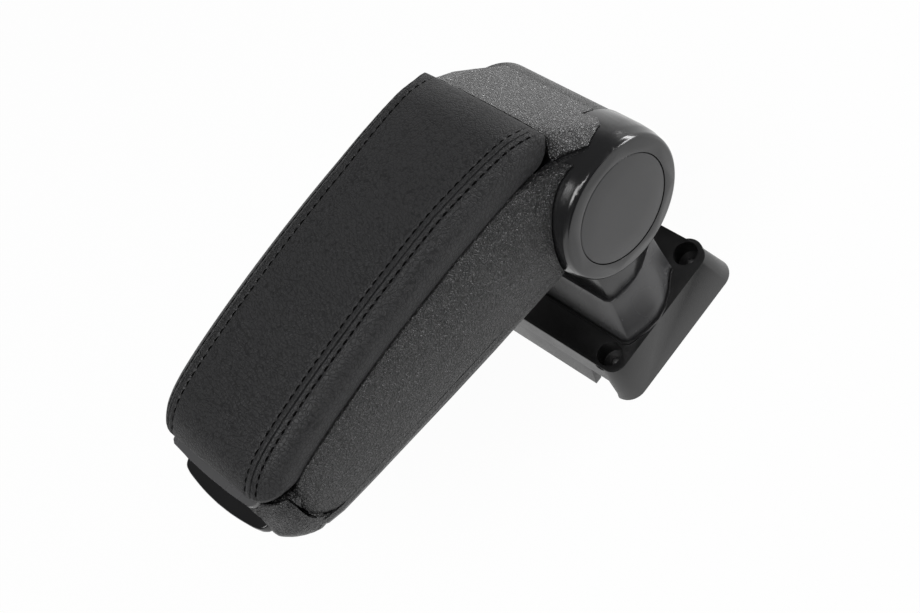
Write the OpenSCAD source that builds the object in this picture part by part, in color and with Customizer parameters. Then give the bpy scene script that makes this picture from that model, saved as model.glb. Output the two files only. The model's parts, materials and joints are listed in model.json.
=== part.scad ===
// Car centre armrest: a storage arm with a padded lid that tilts on a hub above a screwed-down foot.
// Millimetres, +Z up, the arm points to -Y.
// Origin: centre of the four fixing holes, on the underside of the foot.

/* [Arm] */
// Length of the padded lid
lid_length = 252; // [232:1:272]
// Width of the padded lid
lid_width = 101; // [96:1:103]
// Width of the arm where it meets the hub
arm_width = 133; // [130:1:136]
// Width of the arm at its nose
nose_width = 115; // [113:1:119]
// Wall of the moulded shells
wall = 2.5; // [2:0.1:3]
// Height of the storage floor above the pivot axis
floor_z = 12; // [10:1:18]

/* [Hub] */
// Diameter of the round hub caps
drum_d = 93.6; // [92:0.2:95]
// Width over both hub caps
hub_width = 146.6; // [144:0.2:150]
// Width of the grained barrel between the caps
barrel_width = 77; // [75:0.2:77.4]
// Diameter of the inset disc in each cap
disc_d = 68; // [60:0.5:72]
// Diameter of the pivot bolt
pivot_d = 12; // [10:0.5:14]

/* [Foot] */
// Height of the pivot axis above the mounting face
pivot_height = 125; // [122:1:140]
// Width of the foot at its lower edge
foot_width = 164; // [160:1:172]
// Length of the foot at its lower edge
foot_length = 108; // [106:1:114]
// Height of the foot
foot_height = 26; // [24:1:28]
// Spacing of the fixing holes across the car
bolt_x = 123; // [121:1:124]
// Spacing of the fixing holes along the car
bolt_y = 78; // [77:1:79]
// Diameter of the fixing holes
bolt_d = 6.5; // [5.5:0.1:7.5]

/* [Lid hinge and latch] */
// Diameter of the lid hinge pin
hinge_d = 5; // [4:0.1:5.4]
// Diameter of the latch pin
latch_d = 4; // [3.4:0.1:4.4]
// Radial clearance of the pins that turn
run = 0.05; // [0.03:0.01:0.08]

/* [Hidden] */
$fa = 6;
$fs = 0.8;
piv_y = 18;
seat = 0.1;
drum_r = drum_d / 2;
barrel_r = drum_r - 0.7;
clear_r = drum_r + 0.8;
bore_r = barrel_r - 3;
bw = barrel_width / 2;
hw = hub_width / 2;
yoke_in = 41;
yoke_out = 44;
sleeve_x = 39.4;
base_z = -pivot_height;
top_z = base_z + foot_height;
ped_z = top_z + 26;
hl = lid_width / 2;
gap_x = hl + 0.8;
in_x = 47;
tub_x = 42.4;
hinge_y = 4;
hinge_z = 51.5;
latch_z = 57.5;
latch_y = ly(1) + 14;
stop_r = 28;
stop_d = 6;
slot_r = stop_d / 2 + 0.35;
tilt = 95;
washer = 3;

// Position along the arm: the part near the hub keeps its size, the rest follows the lid length.
function ly(t) = t < 0.19 ? -252 * t : -47.9 - (t - 0.19) / 0.81 * (lid_length - 47.9);
// Half width of the arm, lower joint line, bottom, lid joint, and lid top along the arm.
function wx(t) = lookup(t, [[0, arm_width / 2 + 0.5], [0.19, arm_width / 2], [0.9, nose_width / 2],
  [0.94, nose_width / 2 - 1], [0.965, nose_width / 2 - 3.5], [0.985, nose_width / 2 - 7],
  [1, nose_width / 2 - 11], [1.015, nose_width / 2 - 16.5], [1.03, nose_width / 2 - 21],
  [1.047, nose_width / 2 - 24]]);
function zd(t) = lookup(t, [[0, 4.2], [0.19, 4.7], [0.39, 7.8], [0.57, 11.7], [0.72, 15.4], [0.82, 17.2],
  [0.9, 19], [0.94, 22], [0.965, 26], [0.985, 30], [1, 33], [1.05, 33]]);
function zb(t) = lookup(t, [[0, -11.5], [0.19, -11], [0.4, -8], [0.6, -3.5], [0.8, 2.5], [0.9, 6.5],
  [0.94, 9], [0.965, 12], [0.985, 16], [1, 19.5], [1.015, 23], [1.03, 26], [1.047, 29]]);
function zg(t) = 62.4 - pow((t - 0.53) * 252, 2) * (t < 0.53 ? 0.00052 : 0.00088);
function zt(t) = lookup(t, [[0.008, 66.4], [0.02, 69.3], [0.036, 72], [0.071, 77], [0.135, 80.5],
  [0.19, 82.3], [0.337, 84.6], [0.476, 84.6], [0.627, 83.3], [0.766, 80.7], [0.845, 78.4], [0.901, 75.8],
  [0.937, 73],
  [0.968, 68.6], [0.99, 63.5], [1, 60.5]]);
// Lower edge of the lid: it climbs over the shoulder at the rear and over the lever in front.
function zl(t) = lookup(t, [[0.008, 65.3], [0.02, 63.6], [0.036, 59.2], [0.056, 55.5], [0.1, 56.8],
  [0.9, zg(0.9) + 0.8], [0.93, zg(0.93) + 0.9], [0.97, 55.4], [1, 57.4]]);
function lidz(t) = t > 0.1 && t < 0.9 ? zg(t) + 0.8 : zl(t);

// A skin through rows of points, closed at both ends.
module loft(rows) {
  m = len(rows);
  n = len(rows[0]);
  pts = [for (r = rows) for (p = r) p];
  sides = [for (i = [0:m - 2]) for (j = [0:n - 1]) each [
    [i * n + j, i * n + (j + 1) % n, (i + 1) * n + (j + 1) % n],
    [i * n + j, (i + 1) * n + (j + 1) % n, (i + 1) * n + j]]];
  first = [for (j = [n - 1:-1:0]) j];
  last = [for (j = [0:n - 1]) (m - 1) * n + j];
  polyhedron(points = pts, faces = concat([first], sides, [last]), convexity = 10);
}
function mirrored(h) = concat(h, [for (i = [len(h) - 1:-1:0]) if (h[i][0] > 0.01) [-h[i][0], h[i][1]]]);
function at_y(loop, y) = [for (p = loop) [p[0], y, p[1]]];

module rod(r, x0, x1) {
  rotate([0, 90, 0])
    translate([0, 0, x0])
      cylinder(r = r, h = x1 - x0);
}
module slab(x0, x1, y0, y1, z0, z1) {
  translate([x0, y0, z0])
    cube([x1 - x0, y1 - y0, z1 - z0]);
}
module at_pivot() {
  translate([0, piv_y, pivot_height])
    children();
}
module sides() {
  children();
  mirror([1, 0, 0])
    children();
}
// A side-view outline (y, z) given a thickness across the car.
module side_plate(x0, x1) {
  translate([x0, 0, 0])
    rotate([90, 0, 90])
      linear_extrude(x1 - x0)
        children();
}
// The space swept by the hub: the barrel in the middle, the caps outside it.
module drum_space(r) {
  facet_rod(r, bw, hw + 20);
  facet_rod(r, -hw - 20, -bw);
}
// A rod with flat sides, for cutting and joining the lofted skins.
module facet_rod(r, x0, x1) {
  side_plate(x0, x1)
    polygon([for (a = [2:5:357]) [r * cos(a), r * sin(a)]]);
}
module holes(dx, dy, r, z0, z1) {
  for (x = [-dx / 2, dx / 2])
    for (y = [-dy / 2, dy / 2])
      translate([x, y, z0])
        cylinder(r = r, h = z1 - z0);
}

// Foot
module foot_block(inset, z0, z1) {
  f = [[z0, 1 - z0 / foot_height], [z1 - 0.02, 1 - z1 / foot_height]];
  hull()
    for (k = f)
      for (sx = [-1, 1])
        for (sy = [-1, 1])
          translate([sx * (foot_width / 2 - 12 - inset - 3.7 * (1 - k[1])),
                     sy * (foot_length / 2 - 12 - inset - 2.7 * (1 - k[1])) - 0.8, k[0]])
            cylinder(r = 12 - inset * 0.6 - 3 * (1 - k[1]), h = 0.02, $fn = 40);
}
// Plan outline of the pedestal: straight front, bulging sides, narrower rear.
function ped_loop(k) = let (
    f = 69.3 - 10.8 * k, r = 62 - 9.8 * k, b = 7.5 - 3 * k, y0 = -46 + 10 * k, y1 = 10.8 + 5 * k,
    q = 6)
  [for (p = concat(
      [[f - q, y0], [f - 1.8, y0 + 1.8], [f, y0 + q]],
      [for (s = [0.2:0.2:0.8]) [f + (r - f) * s + b * sin(180 * s), y0 + q + (y1 - y0 - 2 * q) * s]],
      [[r, y1 - q], [r - 1.8, y1 - 1.8], [r - q, y1]])) p];
function ped_row(k, z, in) = let (h = ped_loop(k), c = -16)
  [for (p = concat(h, [for (i = [len(h) - 1:-1:0]) [-h[i][0], h[i][1]]]))
    [p[0] - in * sign(p[0]), c + (p[1] - c) * (1 - in / 28), z]];

module base_adapter() {
  color([0.07, 0.07, 0.075])
    difference() {
      union() {
        difference() {
          foot_block(0, 0, foot_height);
          foot_block(3.2, -1, foot_height - 3.6);
          slab(-50, 50, -16, 26, 0, foot_height + 1);
        }
        holes(bolt_x, bolt_y, 11, 3, foot_height - 1);
        // raised collar around the pedestal
        translate([0, piv_y, 0])
          difference() {
            loft([ped_row(-0.16, foot_height + 1.6, 0), ped_row(-0.16, foot_height - 1, 0)]);
            loft([ped_row(-0.02, foot_height + 3, 0), ped_row(-0.02, foot_height - 2, 0)]);
          }
        for (y = [-40, 36])
          slab(-30, 30, y, y + 2.5, 3, foot_height - 1);
      }
      holes(bolt_x, bolt_y, bolt_d / 2, -1, foot_height + 2);
      holes(bolt_x, bolt_y, 8, foot_height - 12, foot_height + 2);
      // openings in the front skirt
      sides()
        hull() {
          slab(51, 66, -foot_length, -foot_length / 2 + 9, -1, 15);
          slab(51, 70, -foot_length, -foot_length / 2 + 9, -1, 5);
        }
    }
}
module mounting_plate() {
  color([0.25, 0.26, 0.27])
    difference() {
      translate([-foot_width / 2 + 6.4, -foot_length / 2 + 5.4, 0])
        cube([foot_width - 12.8, foot_length - 12.6, 3]);
      for (sx = [-1, 1])
        for (sy = [-1, 1])
          translate([sx * (foot_width / 2 - 5.5), sy * (foot_length / 2 - 5.4) - 0.8, -1])
            rotate(45)
              cube([16, 16, 12], center = true);
      holes(bolt_x, bolt_y, bolt_d / 2, -1, 4);
      translate([0, piv_y - 13, 0])
        holes(112, 30, 2.5, -1, 4);
    }
}
module plate_screws() {
  color([0.55, 0.56, 0.58])
    translate([0, piv_y - 13, 0])
      for (x = [-56, 56])
        for (y = [-15, 15])
          translate([x, y, 0.2]) {
            cylinder(r = 2.45, h = 6);
            translate([0, 0, 5.8])
              difference() {
                cylinder(r = 4.6, h = 3.2);
                translate([0, 0, 1.6])
                  cylinder(r = 2.3, h = 3, $fn = 6);
              }
          }
}
module stand_bracket() {
  color([0.3, 0.31, 0.33])
    at_pivot()
      difference() {
        union() {
          slab(-62, 62, -34, 8, base_z + 3, base_z + 6);
          sides()
            side_plate(yoke_in, yoke_out)
              union() {
                circle(r = 17);
                polygon([[-17, 0], [17, 0], [6, base_z + 4], [-32, base_z + 4]]);
              }
          slab(-yoke_in - 1, yoke_in + 1, -14, -11, base_z + 4, -52);
        }
        rod(pivot_d / 2 + run, -60, 60);
        translate([0, 0, -stop_r])
          rod(stop_d / 2, -60, -30);
        translate([0, -13, 0])
          holes(112, 30, 2.5, base_z, base_z + 8);
        // lightening hole in the web
        translate([0, 0, -84])
          rotate([90, 0, 0])
            cylinder(r = 16, h = 60, center = true);
      }
}
module pedestal_cover() {
  color([0.06, 0.06, 0.065])
    at_pivot()
      difference() {
        loft([ped_row(1, ped_z, 0), ped_row(0.88, top_z + 21, 0), ped_row(0.62, top_z + 14, 0),
              ped_row(0.3, top_z + 6, 0), ped_row(0, top_z, 0)]);
        loft([ped_row(1, ped_z + 1, wall), ped_row(0.88, top_z + 21, wall), ped_row(0.62, top_z + 14, wall),
              ped_row(0.3, top_z + 6, wall), ped_row(0, top_z - 1, wall)]);
      }
}
function neck_row(k, z, in) = let (
    x = 57.5 - 2.5 * k - in, y0 = -35.5 + 5 * k + in, y1 = 15.5 + 6 * k - in, q = 5)
  [[x - q, y0, z], [x - 1.5, y0 + 1.5, z], [x, y0 + q, z], [x + 2.5, (y0 + y1) / 2 - 4, z],
   [x + 1, (y0 + y1) / 2 + 6, z], [x - 4, y1 - q, z], [x - 5.5, y1 - 1.5, z], [x - q - 4, y1, z],
   [-x + q + 4, y1, z], [-x + 5.5, y1 - 1.5, z], [-x + 4, y1 - q, z], [-x - 1, (y0 + y1) / 2 + 6, z],
   [-x - 2.5, (y0 + y1) / 2 - 4, z], [-x, y0 + q, z], [-x + 1.5, y0 + 1.5, z], [-x + q, y0, z]];
module neck_cover() {
  color([0.05, 0.05, 0.055])
    at_pivot()
      difference() {
        union() {
          loft([neck_row(1, -24, 0), neck_row(0.5, ped_z + 22, 0), neck_row(0, ped_z + 1.5, 0)]);
          loft([neck_row(0, ped_z + 2, 5.6), neck_row(0, ped_z - 9, 5.6)]);
        }
        rod(drum_r + 0.25, -hw - 10, hw + 10);
        rod(clear_r + 0.5, -bw - 0.6, bw + 0.6);
        // room for the bracket: its plates are gripped from outside
        intersection() {
          side_plate(-yoke_out - 0.1, yoke_out + 0.1)
            polygon([[-17.4, 0], [17.4, 0], [6.4, base_z + 4], [-32.4, base_z + 4]]);
          slab(-50, 50, -60, 60, ped_z - 20, 0);
        }
        // the block is a shell below the saddle
        loft([neck_row(0, ped_z + 10, 8), neck_row(0, ped_z - 10, 8)]);
      }
}

// Hub
module drum_shape() {
  rotate([0, 90, 0])
    difference() {
      rotate_extrude($fn = 120)
        polygon([[0, 39], [drum_r, 39], [drum_r, hw - 16.6], [drum_r - 0.6, hw - 9], [drum_r - 1.8, hw - 4],
                 [drum_r - 2, hw - 3], [drum_r - 2.6, hw - 1.5], [drum_r - 3.6, hw - 0.5],
                 [drum_r - 5, hw], [0, hw]]);
      // open towards the barrel, with a centre tube that stands on the bracket
      translate([0, 0, 38])
        rotate_extrude($fn = 96)
          polygon([[19.5, -1], [drum_r - wall, -1], [drum_r - wall, hw - 38 - 9], [drum_r - 8, hw - 38 - 5],
                   [19.5, hw - 38 - 5]]);
      translate([0, 0, 38])
        cylinder(r = 17, h = hw - 38 - 5);
      translate([0, 0, 38])
        cylinder(r = 25, h = yoke_out - 38 + seat);
      // seat of the inset disc
      translate([0, 0, hw - 2.4])
        cylinder(r = disc_d / 2 + 0.35, h = 4, $fn = 120);
      for (y = [-28, 28])
        translate([0, y, hw - 8])
          cylinder(r = 2.2, h = 8);
    }
}
module drum_cut() {
  difference() {
    children();
    slab(38, 46, -26, 24, -drum_r - 1, 0);
  }
}
// The cap on the far side is a low dome with a plug in its centre.
module dome_shape() {
  rotate([0, 90, 0])
    difference() {
      rotate_extrude($fn = 96)
        polygon([[0, 39], [drum_r - 2.4, 39], [drum_r - 3, 41], [drum_r - 4.4, 43.5], [drum_r - 7.3, 46.5],
                 [drum_r - 11.3, 49], [drum_r - 17, 51.7], [drum_r - 23, 54], [19, 56], [0, 57]]);
      translate([0, 0, 38])
        rotate_extrude($fn = 96)
          polygon([[19.5, -1], [drum_r - 5.2, -1], [drum_r - 5.6, 2.2], [drum_r - 7, 4.2], [drum_r - 9.6, 6.6],
                   [drum_r - 13, 8.6], [drum_r - 18, 10.9], [drum_r - 23.4, 12.9], [19.5, 14.8]]);
      translate([0, 0, 38])
        cylinder(r = 17, h = 15.4);
      translate([0, 0, 38])
        cylinder(r = 25, h = yoke_out - 38 + seat);
      translate([0, 0, 55])
        cylinder(r = 12.35, h = 4);
      cylinder(r = 4, h = 60);
    }
}
module left_drum() {
  color([0.06, 0.06, 0.065])
    at_pivot()
      drum_cut()
        drum_shape();
}
module right_drum() {
  color([0.06, 0.06, 0.065])
    at_pivot()
      mirror([1, 0, 0])
        drum_cut()
          dome_shape();
}
module left_drum_disc() {
  color([0.09, 0.09, 0.095])
    at_pivot()
      rotate([0, 90, 0]) {
        translate([0, 0, hw - 2.35])
          rotate_extrude($fn = 120)
            polygon([[0, 0], [disc_d / 2, 0], [disc_d / 2, 1.75], [disc_d / 2 - 0.6, 2.2], [20, 2.6],
                     [0, 2.7]]);
        for (y = [-28, 28])
          translate([0, y, hw - 9])
            cylinder(r = 2.1, h = 7);
      }
}
module right_drum_disc() {
  color([0.09, 0.09, 0.095])
    at_pivot()
      rotate([0, -90, 0])
        rotate_extrude($fn = 64)
          polygon([[0, 52.2], [3.6, 52.2], [3.9, 52.8], [3.9, 55.05], [12, 55.05], [12, 56.4], [11.4, 57],
                   [0, 57.6]]);
}
module pivot_bolt() {
  color([0.6, 0.6, 0.62])
    at_pivot() {
      rod(pivot_d / 2, -yoke_out - 1, 58);
      rotate([0, 90, 0])
        translate([0, 0, -yoke_out - 7.6])
          cylinder(r = pivot_d * 0.92, h = 7.5, $fn = 6);
    }
}
module pivot_nut() {
  color([0.55, 0.55, 0.57])
    at_pivot()
      rotate([0, 90, 0])
        difference() {
          translate([0, 0, yoke_out + washer + 0.1])
            cylinder(r = pivot_d * 0.92, h = 8, $fn = 6);
          translate([0, 0, 0])
            cylinder(r = pivot_d / 2 + 0.02, h = 80);
        }
}
module spring_washers() {
  color([0.5, 0.5, 0.52])
    at_pivot()
      rotate([0, 90, 0])
        translate([0, 0, yoke_out + 0.05])
          rotate_extrude($fn = 64)
            polygon([[pivot_d / 2 + 0.1, 0.8], [13, 0], [13, 0.7], [10, 1.5], [13, 2.2], [13, 3],
                     [pivot_d / 2 + 0.1, washer - 0.7]]);
}
module friction_discs() {
  color([0.35, 0.25, 0.18])
    at_pivot()
      sides()
        difference() {
          rod(16, sleeve_x + 0.3, yoke_in);
          rod(pivot_d / 2 + run, 30, 50);
        }
}
module stop_pin() {
  color([0.6, 0.6, 0.62])
    at_pivot()
      translate([0, 0, -stop_r])
        rod(stop_d / 2, -yoke_out, -35.8);
}

// Arm
function slot_at(r, a) = [r * sin(a), -r * cos(a)];
function slot_cap(a, q) = [for (i = [1:7]) slot_at(stop_r, a) - q * slot_at(slot_r * cos(22.5 * i), a)
  + q * slot_r * sin(22.5 * i) * [cos(a), sin(a)]];
module arm_bracket() {
  color([0.3, 0.31, 0.33])
    at_pivot()
      difference() {
        union() {
          rod(10, -sleeve_x, sleeve_x);
          rod(40, 35.5, 38.5);
          rod(40, -38.5, -35.5);
          slab(-38.5, 38.5, -41, -38, -12, 12);
          slab(-36, 36, -40, -8, -1.5, 1.5);
        }
        rod(pivot_d / 2 + run, -60, 60);
        // slot for the stop pin
        side_plate(-40, -34)
          polygon(concat([for (i = [0:19]) slot_at(stop_r - slot_r, tilt * i / 19)], slot_cap(tilt, 1),
                         [for (i = [19:-1:0]) slot_at(stop_r + slot_r, tilt * i / 19)], slot_cap(0, -1)));
        bracket_holes(2.6, -60, -20);
      }
}
module bracket_holes(r, y0, y1) {
  for (x = [-26, 26])
    for (z = [-1, 1])
      translate([x, y1, z * 8.6])
        rotate([90, 0, 0])
          cylinder(r = r, h = y1 - y0);
}
module bracket_screws() {
  color([0.5, 0.5, 0.52])
    at_pivot() {
      bracket_holes(2.5, -53, -37.5);
      difference() {
        bracket_holes(4, -38, -35);
        for (x = [-26, 26])
          for (z = [-1, 1])
            translate([x, -34, z * 8.6])
              rotate([90, 0, 0])
                cylinder(r = 2, h = 2.4, $fn = 6);
      }
    }
}

// Cross-section of the lower shell at one place along the arm.
function tray_half(t, in, up) = let (w = wx(t) - in, d = zd(t), b = zb(t) + in, h = d - b)
  [[0, d + up], [w, d + up], [w - 0.25, d - h * 0.3], [w - 1.6, d - h * 0.55], [w - 4.6, d - h * 0.8],
   [w - 9.5, d - h * 0.95], [w - 17, b], [0, b]];
arm_steps = [0.1, 0.2, 0.3, 0.42, 0.56, 0.7, 0.82, 0.9, 0.94, 0.965, 0.985, 1, 1.015, 1.03, 1.047];
module tray(in, ts, up) {
  loft([for (t = ts) at_y(mirrored(tray_half(t, in, up)), ly(t))]);
}
// Side-view band that follows the lid joint, z offsets below it.
lid_line = [for (i = [0:18]) 0.03 + 0.95 * i / 18];
module under_lid(x, lo, hi) {
  side_plate(-x, x)
    polygon(concat([for (t = lid_line) [ly(t), zg(t) - hi]], [[ly(0.98), lo], [ly(0.03), lo]]));
}
nose_steps = [0.932, 0.943, 0.967, 0.987, 1.003, 1.017];
function pod_n(t) = t > 0.88 ? sqrt(max(0, 1 - pow((t - 0.88) / 0.0705, 2))) : 1;
function pod_z(t, q) = 38 + (q - 38) * pod_n(t);
// Room for the front end of the side panels, cut from the nose before it joins the shell.
module pod_room() {
  sides()
    loft([for (t = [0.928, 0.938, 0.945, 0.9495])
      let (a = pod_z(t, zd(t)) - 0.5, b = pod_z(t, zg(t)) + 0.5)
        [[46.7, ly(t), b], [62, ly(t), b], [62, ly(t), a], [46.7, ly(t), a]]]);
}
module bin_walls() {
  side_plate(-in_x, in_x)
    polygon(concat([for (t = lid_line) if (t > 0.04 && t < 0.95) [ly(t), zg(t) - 3.2]],
                   [[ly(0.955), 49], [ly(0.955), zb(0.955) + 4], [ly(0.6), zb(0.6) + 4], [ly(0.045), -4]]));
}
module bin_shell() {
  color([0.08, 0.08, 0.085])
    at_pivot() {
      // seats of the bracket screws inside the barrel
      difference() {
        bracket_holes(5.5, -45, -41.05);
        bracket_holes(2.6, -60, -30);
      }
      difference() {
        union() {
          tray(0, arm_steps, 0);
          bin_walls();
          facet_rod(barrel_r, -bw - 1, bw + 1);
          // nose of the arm beside the finger recess
          difference() {
            loft([for (t = nose_steps) let (w = wx(t) - 0.8, z = zd(t) - 3.7)
              [[-w + 1.5, ly(t), 50.5], [w - 1.5, ly(t), 50.5], [w - 0.4, ly(t), 48.5], [w, ly(t), z],
               [-w, ly(t), z], [0.4 - w, ly(t), 48.5]]]);
            pod_room();
          }
        }
        // room inside the lower shell and the walls that carry the storage tub
        difference() {
          tray(wall, [0.205, 0.3, 0.42, 0.56, 0.7, 0.82, 0.9, 0.935], 12);
          sides()
            slab(in_x - wall, in_x, ly(1), 0, -30, 90);
        }
        slab(wall - in_x - 0.03, in_x - wall + 0.03, ly(0.934), ly(0.208), 14.1, 80);
        slab(wall - in_x - 0.03, in_x - wall + 0.03, -45, 0, 30, 80);
        // finger recess
        slab(-36, 36, ly(1.1), ly(0.966), 33, 60);
        slab(-9, 9, ly(1), ly(0.93), 42, 50);
        // hub
        facet_rod(bore_r, -bw - 1, bw + 1);
        drum_space(clear_r);
        bracket_holes(2.6, -54, -30);
      }
    }
}
function pod_half(t, th, flare) = let (
    w = wx(t), f = t < 0.16 ? (0.16 - t) / 0.16 : 0, n = pod_n(t),
    gx = gap_x + flare * pow(f, 1.3), zc = 38,
    z1 = zc + (zg(t) + 0.3 - 7.5 * f - zc) * n, z0 = zc + (zd(t) + 0.15 - zc) * n)
  concat(
    [for (u = [0, 0.15, 0.35, 0.55, 0.72, 0.86, 0.95, 1])
      [gx + (w - gx) * (1 - pow(u, 2.3)) - (n < 1 ? (1 - n) * 3 : 0), z0 + (z1 - z0) * u]],
    [[max(in_x + 0.1, gx - 2.2 - (n < 1 ? (1 - n) * 3 : 0)), z1 - 0.4],
     [in_x + 0.1, z1 - 0.4 - 1.2 * n],
     [in_x + 0.1, z1 - 0.4 - 4.2 * n]],
    [for (u = [0.86, 0.6, 0.3])
      [gx + (w - gx) * (1 - pow(u, 2.3)) - th - (n < 1 ? (1 - n) * 3 : 0), z0 + (z1 - z0) * u]],
    [[w - th - (n < 1 ? (1 - n) * 3 : 0), z0]]);
module pod(flare) {
  difference() {
    loft([for (t = [0, 0.03, 0.07, 0.11, 0.15, 0.19, 0.27, 0.36, 0.46, 0.56, 0.66, 0.76, 0.84, 0.88, 0.905,
                    0.925, 0.938, 0.947]) let (h = pod_half(t, wall, flare))
      at_y([for (i = [len(h) - 1:-1:0]) h[i]], ly(t))]);
    facet_rod(clear_r, bw, hw + 20);
  }
}
module left_side_panel() {
  color([0.1, 0.1, 0.105])
    at_pivot()
      pod(12.5);
}
module right_side_panel() {
  color([0.1, 0.1, 0.105])
    at_pivot()
      mirror([1, 0, 0])
        pod(1.2);
}
// Shoulder behind the lid: a crowned plane tangent to the barrel that folds down over the caps.
module rear_cover() {
  s = barrel_r * sqrt(0.5);
  g = s + 0.7;
  cols = [
    [[0, -1.5, 65], [0, 14, 51 + (s - 32.6)], [0, g, g]],
    [[20, -1.5, 64.6], [20, 14, 50.9 + (s - 32.6)], [20, g, g]],
    [[36, -1.3, 63.2], [37, 14, 50.6 + (s - 32.6)], [38.3, g, g]],
    [[45, -1.2, 60.4], [49, 12.4, 51.4], [54, 25.3, 41.2]],
    [[49.4, -8.5, 52.2], [55.8, 0.5, 50.5], [61.5, 8.5, 47.8]]];
  // the other cap is smaller, so the shoulder tapers towards it
  cols_r = [cols[0], cols[1],
    [[36, -1.3, 63.2], [35, 14, 50.6 + (s - 32.6)], [32, g, g]],
    [[45, -1.2, 60.4], [44, 9, 53], [38, 19, 46]],
    [[48.2, -8.5, 52.2], [50, 0.5, 50.5], [50.4, 8, 47.8]]];
  color([0.1, 0.1, 0.105])
    at_pivot()
      difference() {
        for (k = [0, 1])
          mirror([k, 0, 0])
            difference() {
              shoulder(k == 0 ? cols : cols_r);
              slab(-9, 0, -90, 90, 0, 90);
            }
        facet_rod(barrel_r + 0.12, -bw - 0.3, bw + 0.3);
        drum_space(clear_r);
        // hollow under the skin
        side_plate(-37, 37)
          polygon([[-30, 10], [-30, 62.2], [-1.2, 62.2], [12.4, 49.4], [22, 40], [22, 10]]);
        side_plate(-47.3, 47.3)
          polygon([[-30, 10], [-30, 55], [-4, 55], [9, 48.8], [9, 10]]);
      }
}
module shoulder(c) {
  n = len(c);
  rows = [for (i = [0:n - 1]) [c[i][0], c[i][1], c[i][2],
    [c[i][2][0], 20, 20], [c[i][0][0], -12, 30], [c[i][0][0], c[i][0][1] - 0.02, 50]]];
  loft(rows);
}
module bin_tub() {
  color([0.07, 0.07, 0.072])
    at_pivot()
      difference() {
        union() {
          intersection() {
            slab(-tub_x, tub_x, ly(0.925), ly(0.212), floor_z, 80);
            under_lid(tub_x + 1, 0, 1.2);
          }
          // flange that the lid closes on
          difference() {
            intersection() {
              under_lid(in_x - 0.1, 20, 1.2);
              slab(-60, 60, ly(0.919), ly(0.06), 0, 80);
            }
            under_lid(in_x + 1, 10, 3.05);
          }
        }
        slab(-tub_x + 2, tub_x - 2, ly(0.925) + 2, ly(0.21) - 2, floor_z + 2, 90);
        // the lid arms pass here
        for (x = [-20.5, 20.5])
          slab(x - 4.2, x + 4.2, -28, 10, 40, 70);
      }
}
module bin_mat() {
  color([0.05, 0.05, 0.05])
    at_pivot()
      difference() {
        slab(-tub_x + 2.6, tub_x - 2.6, ly(0.925) + 2.6, ly(0.21) - 2.6, floor_z + 2, floor_z + 4);
        for (i = [1:9])
          slab(-tub_x + 8, tub_x - 8, ly(0.21) - 10 - i * 15, ly(0.21) - 7 - i * 15, floor_z + 3.2,
               floor_z + 5);
      }
}
module lid_bumpers() {
  t = 0.86;
  color([0.04, 0.04, 0.04])
    at_pivot()
      for (x = [-44.5, 44.5])
        translate([x, ly(t), zg(t) - 1.15])
          rotate([8.3, 0, 0])
            cylinder(r = 2.2, h = 1.7);
}
module hinge_bracket() {
  color([0.3, 0.31, 0.33])
    at_pivot()
      difference() {
        union() {
          sides()
            side_plate(26, 29)
              union() {
                translate([hinge_y, hinge_z])
                  circle(r = 4);
                polygon([[hinge_y + 4, hinge_z], [hinge_y - 4, hinge_z], [-9, 44], [7.5, 44]]);
              }
          intersection() {
            rod(barrel_r + 1.8, -32, 32);
            slab(-32, 32, -12, 6, 30, 60);
          }
        }
        rod(barrel_r + 0.15, -60, 60);
        for (x = [-20.6, 20.6])
          slab(x - 4, x + 4, -20, 20, 40, 70);
        translate([0, hinge_y, hinge_z])
          rod(hinge_d / 2, -60, 60);
      }
}
module lid_hinge_pin() {
  color([0.6, 0.6, 0.62])
    at_pivot()
      translate([0, hinge_y, hinge_z])
        rod(hinge_d / 2, -31, 31);
}
module latch_catch() {
  color([0.45, 0.46, 0.48])
    at_pivot()
      difference() {
        slab(-13, 13, ly(0.966) - 1.2, ly(0.966), 40.5, 50.4);
        slab(-9.5, 9.5, ly(1), ly(0.93), 43.2, 48.4);
      }
}

// Lid
lid_steps = [0.008, 0.02, 0.036, 0.056, 0.1, 0.16, 0.25, 0.37, 0.5, 0.63, 0.75, 0.84, 0.9, 0.935, 0.958,
  0.978, 0.992, 1];
function lid_hw(t) = t > 0.935 ? hl - 16.4 + 16.4 * sqrt(max(0, 1 - pow((t - 0.935) / 0.065, 2)))
  : t < 0.03 ? hl - 2.5 + 2.5 * (t / 0.03) : hl;
function pad_half(t) = let (w = lid_hw(t), a = lidz(t), b = zt(t), h = b - a,
    s = 37.8 + 5 * max(0, 0.3 - t) / 0.3,
    q = min(s, w - 4))
  [[0, b + 1.6], [q * 0.5, b + 1.3], [q, b], [q + (w - q) * 0.45, b - h * 0.11],
   [q + (w - q) * 0.8, b - h * 0.3], [w - 0.2, b - h * 0.55], [w, a + h * 0.15], [w - 0.8, a], [0, a]];
module lid_pad() {
  color([0.055, 0.055, 0.06])
    at_pivot()
      difference() {
        loft([for (t = lid_steps) at_y(mirrored(pad_half(t)), ly(t))]);
        lid_core(0.1);
        slab(-39.4, 39.4, latch_y - 8, latch_y + 10, 40, latch_z + 5.4);
      }
}
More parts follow.
